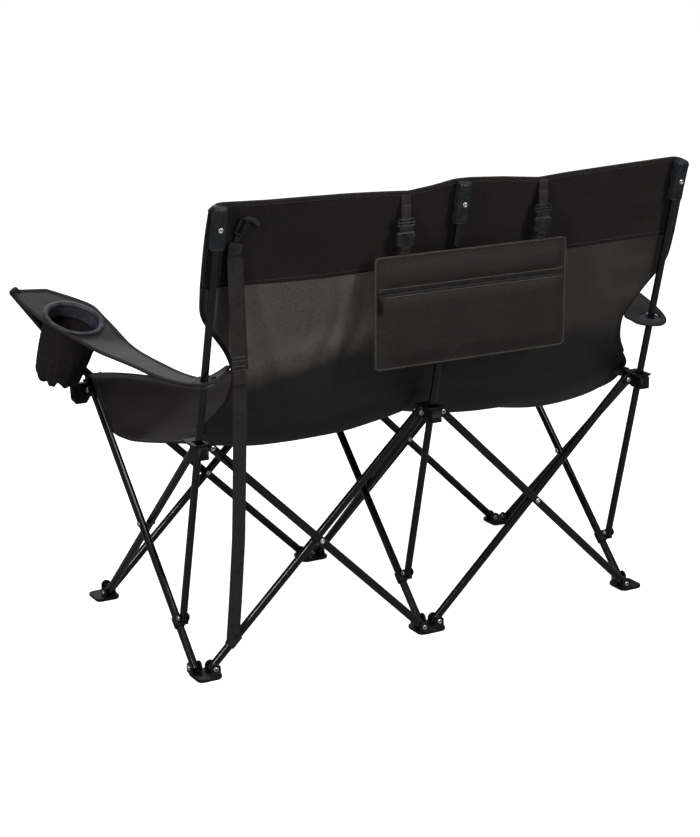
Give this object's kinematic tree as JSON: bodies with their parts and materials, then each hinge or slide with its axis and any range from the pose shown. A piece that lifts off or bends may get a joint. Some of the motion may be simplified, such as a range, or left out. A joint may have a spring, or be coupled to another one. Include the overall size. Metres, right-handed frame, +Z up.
{
  "type": "folding camping loveseat",
  "caption": "Wide folding camp chair for two: fabric sling on a scissor frame of steel tubes, with armrests, cup holders and a zip pocket behind the back.",
  "frame": {"origin": "on the ground under the middle of the outer size", "axes": "+Z up, -Y to the front where the sitters face, +X to the sitters' left"},
  "size_m": [1.309, 0.6424, 0.9114],
  "materials": {
    "powder_coated_tube": "semi-gloss powder coat",
    "dark_plastic": "satin moulded",
    "woven_fabric": "woven polyester",
    "satin_fabric": "smooth coated polyester",
    "webbing": "narrow webbing",
    "bright_steel": "bright rivet heads"
  },
  "bodies": {
    "rear_centre_foot": {"rear_centre_foot": "dark_plastic"},
    "rear_left_tube_from_centre": {"rear_left_tube_from_centre": "powder_coated_tube", "rear_left_crossing_rivet": "bright_steel"},
    "rear_left_tube_from_side": {"rear_left_tube_from_side": "powder_coated_tube"},
    "rear_left_hub": {"rear_left_hub": "dark_plastic"},
    "rear_left_foot": {"rear_left_foot": "dark_plastic"},
    "rear_right_tube_from_centre": {"rear_right_tube_from_centre": "powder_coated_tube", "rear_right_crossing_rivet": "bright_steel"},
    "rear_right_tube_from_side": {"rear_right_tube_from_side": "powder_coated_tube"},
    "rear_right_hub": {"rear_right_hub": "dark_plastic"},
    "rear_right_foot": {"rear_right_foot": "dark_plastic"},
    "rear_centre_hub": {"rear_centre_hub": "dark_plastic"},
    "left_side_tube_from_rear": {"left_side_tube_from_rear": "powder_coated_tube", "left_side_crossing_rivet": "bright_steel", "left_post_clip": "dark_plastic"},
    "left_side_tube_from_front": {"left_side_tube_from_front": "powder_coated_tube"},
    "front_left_hub": {"front_left_hub": "dark_plastic"},
    "front_left_foot": {"front_left_foot": "dark_plastic"},
    "centre_side_tube_from_rear": {"centre_side_tube_from_rear": "powder_coated_tube", "centre_side_crossing_rivet": "bright_steel", "centre_post_clip": "dark_plastic"},
    "centre_side_tube_from_front": {"centre_side_tube_from_front": "powder_coated_tube"},
    "front_centre_hub": {"front_centre_hub": "dark_plastic"},
    "front_centre_foot": {"front_centre_foot": "dark_plastic"},
    "right_side_tube_from_rear": {"right_side_tube_from_rear": "powder_coated_tube", "right_side_crossing_rivet": "bright_steel", "right_post_clip": "dark_plastic"},
    "right_side_tube_from_front": {"right_side_tube_from_front": "powder_coated_tube"},
    "front_right_hub": {"front_right_hub": "dark_plastic"},
    "front_right_foot": {"front_right_foot": "dark_plastic"},
    "front_left_arm_tube": {"front_left_arm_tube": "powder_coated_tube", "front_left_crossing_rivet": "bright_steel", "left_arm_tube_cap": "dark_plastic"},
    "front_left_tube_from_side": {"front_left_tube_from_side": "powder_coated_tube"},
    "front_right_arm_tube": {"front_right_arm_tube": "powder_coated_tube", "front_right_crossing_rivet": "bright_steel", "right_arm_tube_cap": "dark_plastic"},
    "front_right_tube_from_side": {"front_right_tube_from_side": "powder_coated_tube"},
    "left_post": {"left_post": "powder_coated_tube", "left_post_cap": "dark_plastic", "closure_strap": "webbing"},
    "centre_post": {"centre_post": "powder_coated_tube", "centre_post_cap": "dark_plastic", "back_panel": "satin_fabric"},
    "right_post": {"right_post": "powder_coated_tube", "right_post_cap": "dark_plastic"},
    "seat_rear_panel": {"seat_rear_panel": "woven_fabric"},
    "seat_front_panel": {"seat_front_panel": "woven_fabric"},
    "left_arm_eyelet": {"left_arm_eyelet": "dark_plastic"},
    "left_arm": {"left_arm_panel": "satin_fabric"},
    "left_cup_holder": {"left_cup_ring": "dark_plastic", "left_cup_pouch": "woven_fabric"},
    "right_arm_eyelet": {"right_arm_eyelet": "dark_plastic"},
    "right_arm": {"right_arm_panel": "satin_fabric"},
    "right_cup_holder": {"right_cup_ring": "dark_plastic", "right_cup_pouch": "woven_fabric"},
    "left_pocket_strap": {"left_pocket_strap": "webbing"},
    "right_pocket_strap": {"right_pocket_strap": "webbing"},
    "zip_pocket": {"zip_pocket": "woven_fabric"},
    "zip_slider": {"zip_slider": "bright_steel"}
  },
  "joints": [
    {"name": "fold", "type": "hinge", "parent": "rear_centre_foot", "child": "rear_left_tube_from_centre", "pos_m": [0.0205, 0.20227, 0.0165], "axis": [0, -1, 0], "range_deg": [0, 36], "deforming": ["seat_front_panel", "seat_rear_panel", "back_panel", "left_arm_panel", "right_arm_panel", "left_cup_pouch", "right_cup_pouch", "zip_pocket", "closure_strap"]},
    {"name": "rear_left_crossing", "type": "hinge", "parent": "rear_left_tube_from_centre", "child": "rear_left_tube_from_side", "pos_m": [0.2435, 0.19377, 0.232], "axis": [0, 1, 0], "range_deg": [0, 72.02]},
    {"name": "rear_left_hub_pivot", "type": "hinge", "parent": "rear_left_tube_from_centre", "child": "rear_left_hub", "pos_m": [0.4665, 0.20227, 0.4475], "axis": [0, 1, 0], "range_deg": [0, 36.02]},
    {"name": "rear_left_foot_pivot", "type": "hinge", "parent": "rear_left_tube_from_side", "child": "rear_left_foot", "pos_m": [0.4665, 0.18577, 0.0165], "axis": [0, -1, 0], "range_deg": [0, 36.02]},
    {"name": "rear_right_tube_from_centre_foot", "type": "hinge", "parent": "rear_centre_foot", "child": "rear_right_tube_from_centre", "pos_m": [-0.0205, 0.18577, 0.0165], "axis": [0, 1, 0], "range_deg": [0, 36.02]},
    {"name": "rear_right_crossing", "type": "hinge", "parent": "rear_right_tube_from_centre", "child": "rear_right_tube_from_side", "pos_m": [-0.2435, 0.19377, 0.232], "axis": [0, -1, 0], "range_deg": [0, 72.02]},
    {"name": "rear_right_hub_pivot", "type": "hinge", "parent": "rear_right_tube_from_centre", "child": "rear_right_hub", "pos_m": [-0.4665, 0.18527, 0.4475], "axis": [0, -1, 0], "range_deg": [0, 36.02]},
    {"name": "rear_right_foot_pivot", "type": "hinge", "parent": "rear_right_tube_from_side", "child": "rear_right_foot", "pos_m": [-0.4665, 0.18577, 0.0165], "axis": [0, 1, 0], "range_deg": [0, 36.02]},
    {"name": "rear_centre_hub_pivot", "type": "hinge", "parent": "rear_left_tube_from_side", "child": "rear_centre_hub", "pos_m": [0.0205, 0.18577, 0.4475], "axis": [0, -1, 0], "range_deg": [0, 36.02]},
    {"name": "left_side_rear_foot", "type": "hinge", "parent": "rear_left_foot", "child": "left_side_tube_from_rear", "pos_m": [0.49525, 0.17027, 0.0165], "axis": [-1, 0, 0], "range_deg": [0, 36.02]},
    {"name": "left_side_crossing", "type": "hinge", "parent": "left_side_tube_from_rear", "child": "left_side_tube_from_front", "pos_m": [0.487, -0.05273, 0.232], "axis": [1, 0, 0], "range_deg": [0, 72.02]},
    {"name": "front_left_hub_pivot", "type": "hinge", "parent": "left_side_tube_from_rear", "child": "front_left_hub", "pos_m": [0.49525, -0.27573, 0.4475], "axis": [1, 0, 0], "range_deg": [0, 36.02]},
    {"name": "front_left_foot_pivot", "type": "hinge", "parent": "left_side_tube_from_front", "child": "front_left_foot", "pos_m": [0.47875, -0.27573, 0.0165], "axis": [-1, 0, 0], "range_deg": [0, 36.02]},
    {"name": "centre_side_rear_foot", "type": "hinge", "parent": "rear_centre_foot", "child": "centre_side_tube_from_rear", "pos_m": [0.00825, 0.17027, 0.0165], "axis": [-1, 0, 0], "range_deg": [0, 36.02]},
    {"name": "centre_side_crossing", "type": "hinge", "parent": "centre_side_tube_from_rear", "child": "centre_side_tube_from_front", "pos_m": [0, -0.05273, 0.232], "axis": [1, 0, 0], "range_deg": [0, 72.02]},
    {"name": "front_centre_hub_pivot", "type": "hinge", "parent": "centre_side_tube_from_rear", "child": "front_centre_hub", "pos_m": [0.00825, -0.27573, 0.4475], "axis": [1, 0, 0], "range_deg": [0, 36.02]},
    {"name": "front_centre_foot_pivot", "type": "hinge", "parent": "centre_side_tube_from_front", "child": "front_centre_foot", "pos_m": [-0.00825, -0.27573, 0.0165], "axis": [-1, 0, 0], "range_deg": [0, 36.02]},
    {"name": "right_side_rear_foot", "type": "hinge", "parent": "rear_right_foot", "child": "right_side_tube_from_rear", "pos_m": [-0.47875, 0.17027, 0.0165], "axis": [-1, 0, 0], "range_deg": [0, 36.02]},
    {"name": "right_side_crossing", "type": "hinge", "parent": "right_side_tube_from_rear", "child": "right_side_tube_from_front", "pos_m": [-0.487, -0.05273, 0.232], "axis": [1, 0, 0], "range_deg": [0, 72.02]},
    {"name": "front_right_hub_pivot", "type": "hinge", "parent": "right_side_tube_from_rear", "child": "front_right_hub", "pos_m": [-0.47875, -0.27573, 0.4475], "axis": [1, 0, 0], "range_deg": [0, 36.02]},
    {"name": "front_right_foot_pivot", "type": "hinge", "parent": "right_side_tube_from_front", "child": "front_right_foot", "pos_m": [-0.49525, -0.27573, 0.0165], "axis": [-1, 0, 0], "range_deg": [0, 36.02]},
    {"name": "front_left_arm_tube_foot", "type": "hinge", "parent": "front_centre_foot", "child": "front_left_arm_tube", "pos_m": [0.0205, -0.29923, 0.0165], "axis": [0, -1, 0], "range_deg": [0, 36.02]},
    {"name": "front_left_crossing", "type": "hinge", "parent": "front_left_arm_tube", "child": "front_left_tube_from_side", "pos_m": [0.2435, -0.29923, 0.232], "axis": [0, 1, 0], "range_deg": [0, 72.02]},
    {"name": "front_right_arm_tube_foot", "type": "hinge", "parent": "front_centre_foot", "child": "front_right_arm_tube", "pos_m": [-0.0205, -0.29923, 0.0165], "axis": [0, 1, 0], "range_deg": [0, 36.02]},
    {"name": "front_right_crossing", "type": "hinge", "parent": "front_right_arm_tube", "child": "front_right_tube_from_side", "pos_m": [-0.2435, -0.29923, 0.232], "axis": [0, -1, 0], "range_deg": [0, 72.02]},
    {"name": "left_post_pivot", "type": "hinge", "parent": "left_side_tube_from_rear", "child": "left_post", "pos_m": [0.49, 0.11412, 0.0951], "axis": [1, 0, 0], "range_deg": [0, 46.82]},
    {"name": "centre_post_pivot", "type": "hinge", "parent": "centre_side_tube_from_rear", "child": "centre_post", "pos_m": [0, 0.11412, 0.0951], "axis": [1, 0, 0], "range_deg": [0, 46.82]},
    {"name": "right_post_pivot", "type": "hinge", "parent": "right_side_tube_from_rear", "child": "right_post", "pos_m": [-0.49, 0.11412, 0.0951], "axis": [1, 0, 0], "range_deg": [0, 46.82]},
    {"name": "seat_rear_fold", "type": "hinge", "parent": "rear_centre_hub", "child": "seat_rear_panel", "pos_m": [0, 0.16477, 0.455], "axis": [1, 0, 0], "range_deg": [0, 50.6]},
    {"name": "seat_front_fold", "type": "hinge", "parent": "front_centre_hub", "child": "seat_front_panel", "pos_m": [0, -0.30023, 0.455], "axis": [-1, 0, 0], "range_deg": [0, 55.46]},
    {"name": "left_eyelet_rise", "type": "slide", "parent": "left_post", "child": "left_arm_eyelet", "axis": [0, 0.2349, 0.972], "range_m": [0, 0.0562]},
    {"name": "left_arm_fold", "type": "hinge", "parent": "left_arm_eyelet", "child": "left_arm", "pos_m": [0.48998, 0.2308, 0.578], "axis": [-0.9462, -0.2871, -0.1492], "range_deg": [0, 58.69]},
    {"name": "left_cup_gather", "type": "slide", "parent": "left_arm", "child": "left_cup_holder", "axis": [-0.2463, 0.9691, 0.0099], "range_m": [0, 0.24279]},
    {"name": "right_eyelet_rise", "type": "slide", "parent": "right_post", "child": "right_arm_eyelet", "axis": [0, 0.2349, 0.972], "range_m": [0, 0.0562]},
    {"name": "right_arm_fold", "type": "hinge", "parent": "right_arm_eyelet", "child": "right_arm", "pos_m": [-0.48998, 0.2308, 0.578], "axis": [-0.9462, 0.2871, 0.1492], "range_deg": [0, 58.69]},
    {"name": "right_cup_gather", "type": "slide", "parent": "right_arm", "child": "right_cup_holder", "axis": [0.2463, 0.9691, 0.0099], "range_m": [0, 0.24279]},
    {"name": "left_pocket_strap_gather", "type": "slide", "parent": "centre_post", "child": "left_pocket_strap", "axis": [-1, 0, 0], "range_m": [0, 0.08057]},
    {"name": "right_pocket_strap_gather", "type": "slide", "parent": "centre_post", "child": "right_pocket_strap", "axis": [1, 0, 0], "range_m": [0, 0.12851]},
    {"name": "pocket_gather", "type": "slide", "parent": "centre_post", "child": "zip_pocket", "axis": [-1, 0, 0], "range_m": [0, 0.11864]},
    {"name": "zip", "type": "slide", "parent": "zip_pocket", "child": "zip_slider", "axis": [-1, 0, 0], "range_m": [0, 0.39]}
  ],
  "couplings": [
    {"joint": "rear_left_crossing", "follows": "fold", "ratio": 2},
    {"joint": "rear_left_hub_pivot", "follows": "fold", "ratio": 1},
    {"joint": "rear_left_foot_pivot", "follows": "fold", "ratio": 1},
    {"joint": "rear_right_tube_from_centre_foot", "follows": "fold", "ratio": 1},
    {"joint": "rear_right_crossing", "follows": "fold", "ratio": 2},
    {"joint": "rear_right_hub_pivot", "follows": "fold", "ratio": 1},
    {"joint": "rear_right_foot_pivot", "follows": "fold", "ratio": 1},
    {"joint": "rear_centre_hub_pivot", "follows": "fold", "ratio": 1},
    {"joint": "left_side_rear_foot", "follows": "fold", "ratio": 1},
    {"joint": "left_side_crossing", "follows": "fold", "ratio": 2},
    {"joint": "front_left_hub_pivot", "follows": "fold", "ratio": 1},
    {"joint": "front_left_foot_pivot", "follows": "fold", "ratio": 1},
    {"joint": "centre_side_rear_foot", "follows": "fold", "ratio": 1},
    {"joint": "centre_side_crossing", "follows": "fold", "ratio": 2},
    {"joint": "front_centre_hub_pivot", "follows": "fold", "ratio": 1},
    {"joint": "front_centre_foot_pivot", "follows": "fold", "ratio": 1},
    {"joint": "right_side_rear_foot", "follows": "fold", "ratio": 1},
    {"joint": "right_side_crossing", "follows": "fold", "ratio": 2},
    {"joint": "front_right_hub_pivot", "follows": "fold", "ratio": 1},
    {"joint": "front_right_foot_pivot", "follows": "fold", "ratio": 1},
    {"joint": "front_left_arm_tube_foot", "follows": "fold", "ratio": 1},
    {"joint": "front_left_crossing", "follows": "fold", "ratio": 2},
    {"joint": "front_right_arm_tube_foot", "follows": "fold", "ratio": 1},
    {"joint": "front_right_crossing", "follows": "fold", "ratio": 2},
    {"joint": "left_post_pivot", "follows": "fold", "ratio": 1.3},
    {"joint": "centre_post_pivot", "follows": "fold", "ratio": 1.3},
    {"joint": "right_post_pivot", "follows": "fold", "ratio": 1.3},
    {"joint": "seat_rear_fold", "follows": "fold", "ratio": 1.405},
    {"joint": "seat_front_fold", "follows": "fold", "ratio": 1.54},
    {"joint": "left_eyelet_rise", "follows": "fold", "m_per_rad": 0.089127},
    {"joint": "left_arm_fold", "follows": "fold", "ratio": 1.6297},
    {"joint": "left_cup_gather", "follows": "fold", "m_per_rad": 0.38609},
    {"joint": "right_eyelet_rise", "follows": "fold", "m_per_rad": 0.089127},
    {"joint": "right_arm_fold", "follows": "fold", "ratio": 1.6297},
    {"joint": "right_cup_gather", "follows": "fold", "m_per_rad": 0.38609},
    {"joint": "left_pocket_strap_gather", "follows": "fold", "m_per_rad": 0.12791},
    {"joint": "right_pocket_strap_gather", "follows": "fold", "m_per_rad": 0.20421},
    {"joint": "pocket_gather", "follows": "fold", "m_per_rad": 0.1885}
  ]
}
